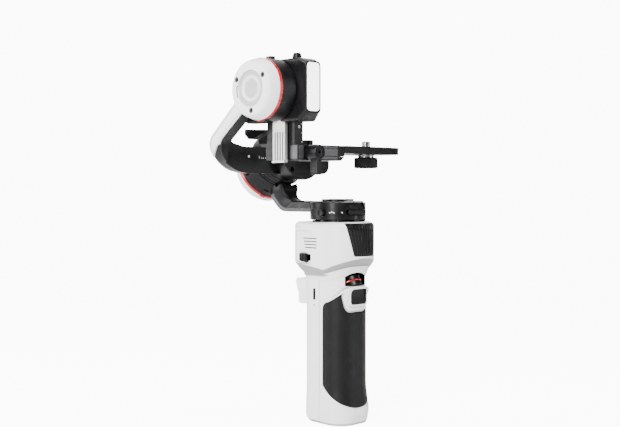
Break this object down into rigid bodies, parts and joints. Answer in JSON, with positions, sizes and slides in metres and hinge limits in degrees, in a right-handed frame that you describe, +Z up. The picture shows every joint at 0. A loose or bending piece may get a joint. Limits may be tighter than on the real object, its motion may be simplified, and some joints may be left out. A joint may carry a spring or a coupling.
{
  "type": "camera gimbal",
  "caption": "Three-axis camera gimbal on a battery handle: inclined roll motor, side tilt motor with fill light, and quick-release camera plate.",
  "frame": {"origin": "centre of the handle's bottom face, on the pan axis, at the mouth of the tripod socket", "axes": "+Z up along the handle and pan axis, -Y towards the camera's lens side, -X towards the tilt motor"},
  "size_m": [0.1356, 0.1281, 0.2564],
  "materials": {
    "white_plastic": "satin moulded",
    "grey_plastic": "satin moulded",
    "cap_white": "satin paint",
    "black_plastic": "fine grain",
    "dark_metal": "fine matt anodised",
    "knurled_metal": "anodised, knurled",
    "red_anodised": "anodised",
    "red_plastic": "gloss",
    "rubber": "fine leather-like texture",
    "display_glass": "gloss window",
    "light_diffuser": "milky diffuser",
    "silver_metal": "satin",
    "bright_steel": "turned",
    "brass_insert": "turned",
    "motor_core": "wound copper on laminations",
    "magnet_steel": "nickel plated",
    "circuit_board": "solder mask",
    "battery_wrap": "shrink wrap"
  },
  "bodies": {
    "handle": {"base_cap": "white_plastic", "tripod_insert": "brass_insert", "handle_front_shell": "white_plastic", "handle_rear_shell": "white_plastic", "rubber_grip": "rubber", "battery_cells": "battery_wrap", "main_board": "circuit_board", "usb_socket": "bright_steel", "trigger_bezel": "white_plastic", "dial_axle": "bright_steel", "control_block": "white_plastic", "head_shell": "white_plastic", "head_floor": "grey_plastic", "vent_grille": "black_plastic", "display_panel": "display_glass", "pan_stator": "motor_core", "pan_bearing": "bright_steel"},
    "trigger": {"trigger_button": "black_plastic"},
    "dial": {"front_dial": "knurled_metal"},
    "wheel": {"side_wheel": "knurled_metal"},
    "power_key": {"power_switch": "black_plastic"},
    "stick_ring": {"joystick_rocker": "bright_steel"},
    "stick": {"joystick": "black_plastic"},
    "record_key": {"record_button": "red_plastic"},
    "mode_key": {"mode_button": "black_plastic"},
    "pan": {"pan_rotor": "dark_metal", "pan_cover": "black_plastic", "pan_magnets": "magnet_steel", "pan_arm": "dark_metal", "roll_housing": "dark_metal", "roll_ring": "red_anodised", "roll_cap": "cap_white", "roll_stator": "motor_core", "roll_bearing": "bright_steel"},
    "pan_catch": {"pan_lock": "black_plastic"},
    "pan_release": {"pan_lever": "black_plastic"},
    "roll_catch": {"roll_lock": "black_plastic"},
    "roll": {"roll_rotor": "dark_metal", "roll_clamp": "dark_metal"},
    "roll_clamp_key": {"roll_clamp_lever": "black_plastic"},
    "arm": {"roll_arm": "dark_metal", "arm_trim": "white_plastic", "tilt_housing": "dark_metal", "tilt_ring": "red_anodised", "tilt_cap": "cap_white", "cap_screws": "bright_steel", "tilt_stator": "motor_core", "tilt_bearing": "bright_steel"},
    "tilt_catch": {"tilt_lock": "black_plastic"},
    "tilt": {"light_box": "black_plastic", "light_panel": "light_diffuser", "tilt_shaft": "bright_steel"},
    "rail_key": {"rail_lever": "silver_metal"},
    "top_knob": {"rail_knob": "black_plastic"},
    "mount": {"tilt_rail": "dark_metal", "camera_base": "dark_metal"},
    "latch": {"latch_lever": "black_plastic"},
    "base_key": {"base_lever": "black_plastic"},
    "plate": {"camera_plate": "dark_metal"},
    "screw": {"camera_screw": "knurled_metal"}
  },
  "joints": [
    {"name": "trigger_press", "type": "slide", "parent": "handle", "child": "trigger", "axis": [0, 1, 0], "range_m": [0, 0.0014], "stiffness_N_per_m": 300},
    {"name": "dial_turn", "type": "hinge", "parent": "handle", "child": "dial", "pos_m": [0, -0.0116, 0.0986], "axis": [0, 0.4226, 0.9063], "continuous": true},
    {"name": "wheel_turn", "type": "hinge", "parent": "handle", "child": "wheel", "pos_m": [0.014, 0.005, 0.092], "axis": [0, 1, 0], "continuous": true},
    {"name": "power_slide", "type": "slide", "parent": "handle", "child": "power_key", "axis": [0, -1, 0], "range_m": [0, 0.003], "stiffness_N_per_m": 50},
    {"name": "stick_up_down", "type": "hinge", "parent": "handle", "child": "stick_ring", "pos_m": [0, 0.0186, 0.0963], "axis": [1, 0, 0], "range_deg": [-5.5, 5.5], "stiffness_Nm_per_rad": 0.004},
    {"name": "stick_left_right", "type": "hinge", "parent": "stick_ring", "child": "stick", "pos_m": [0, 0.0186, 0.0963], "axis": [0, 0, 1], "range_deg": [-5.5, 5.5], "stiffness_Nm_per_rad": 0.004},
    {"name": "record_press", "type": "slide", "parent": "handle", "child": "record_key", "axis": [0, -1, 0], "range_m": [0, 0.0007], "stiffness_N_per_m": 20},
    {"name": "mode_press", "type": "slide", "parent": "handle", "child": "mode_key", "axis": [0, -1, 0], "range_m": [0, 0.0007], "stiffness_N_per_m": 20},
    {"name": "pan_turn", "type": "hinge", "parent": "handle", "child": "pan", "pos_m": [0, 0, 0.15], "axis": [0, 0, 1], "continuous": true},
    {"name": "pan_lock_slide", "type": "slide", "parent": "pan", "child": "pan_catch", "axis": [0, 1, 0], "range_m": [0, 0.0024], "stiffness_N_per_m": 50},
    {"name": "pan_lever_turn", "type": "hinge", "parent": "pan", "child": "pan_release", "pos_m": [0.0076, -0.0183, 0.1495], "axis": [0, 0, 1], "range_deg": [0, 18]},
    {"name": "roll_lock_slide", "type": "slide", "parent": "pan", "child": "roll_catch", "axis": [0, -0.8192, 0.5736], "range_m": [0, 0.0016], "stiffness_N_per_m": 50},
    {"name": "roll_turn", "type": "hinge", "parent": "pan", "child": "roll", "pos_m": [0, 0, 0.2316], "axis": [0, 0.8192, -0.5736], "range_deg": [-30, 235], "stiffness_Nm_per_rad": 8},
    {"name": "roll_clamp_turn", "type": "hinge", "parent": "roll", "child": "roll_clamp_key", "pos_m": [0.009, 0.04, 0.199], "axis": [0, 0, 1], "range_deg": [-50, 0], "stiffness_Nm_per_rad": 0.02},
    {"name": "arm_slide", "type": "slide", "parent": "roll", "child": "arm", "axis": [1, 0, 0], "range_m": [-0.014, 0.012], "stiffness_N_per_m": 3000},
    {"name": "tilt_lock_slide", "type": "slide", "parent": "arm", "child": "tilt_catch", "axis": [-1, 0, 0], "range_m": [0, 0.002], "stiffness_N_per_m": 50},
    {"name": "tilt_turn", "type": "hinge", "parent": "arm", "child": "tilt", "pos_m": [0, -0.0055, 0.2316], "axis": [-1, 0, 0], "range_deg": [-30, 200], "stiffness_Nm_per_rad": 4},
    {"name": "rail_lever_turn", "type": "hinge", "parent": "tilt", "child": "rail_key", "pos_m": [-0.0596, 0, 0.2136], "axis": [0, 1, 0], "range_deg": [0, 10], "stiffness_Nm_per_rad": 0.05},
    {"name": "top_knob_turn", "type": "hinge", "parent": "tilt", "child": "top_knob", "pos_m": [-0.0595, -0.019, 0.25], "axis": [0, 0, 1], "continuous": true},
    {"name": "mount_height", "type": "slide", "parent": "tilt", "child": "mount", "axis": [0, 0, 1], "range_m": [-0.004, 0.014], "stiffness_N_per_m": 3000},
    {"name": "latch_turn", "type": "hinge", "parent": "mount", "child": "latch", "pos_m": [-0.0537, 0.0127, 0.205], "axis": [1, 0, 0], "range_deg": [0, 18], "stiffness_Nm_per_rad": 0.02},
    {"name": "base_lever_turn", "type": "hinge", "parent": "mount", "child": "base_key", "pos_m": [-0.0467, -0.02, 0.1904], "axis": [0, 1, 0], "range_deg": [0, 100], "stiffness_Nm_per_rad": 0.02},
    {"name": "plate_slide", "type": "slide", "parent": "mount", "child": "plate", "axis": [0, 1, 0], "range_m": [-0.012, 0.012], "stiffness_N_per_m": 1500},
    {"name": "camera_screw_turn", "type": "hinge", "parent": "plate", "child": "screw", "pos_m": [0.0277, -0.002, 0.19], "axis": [0, 0, 1], "continuous": true}
  ]
}
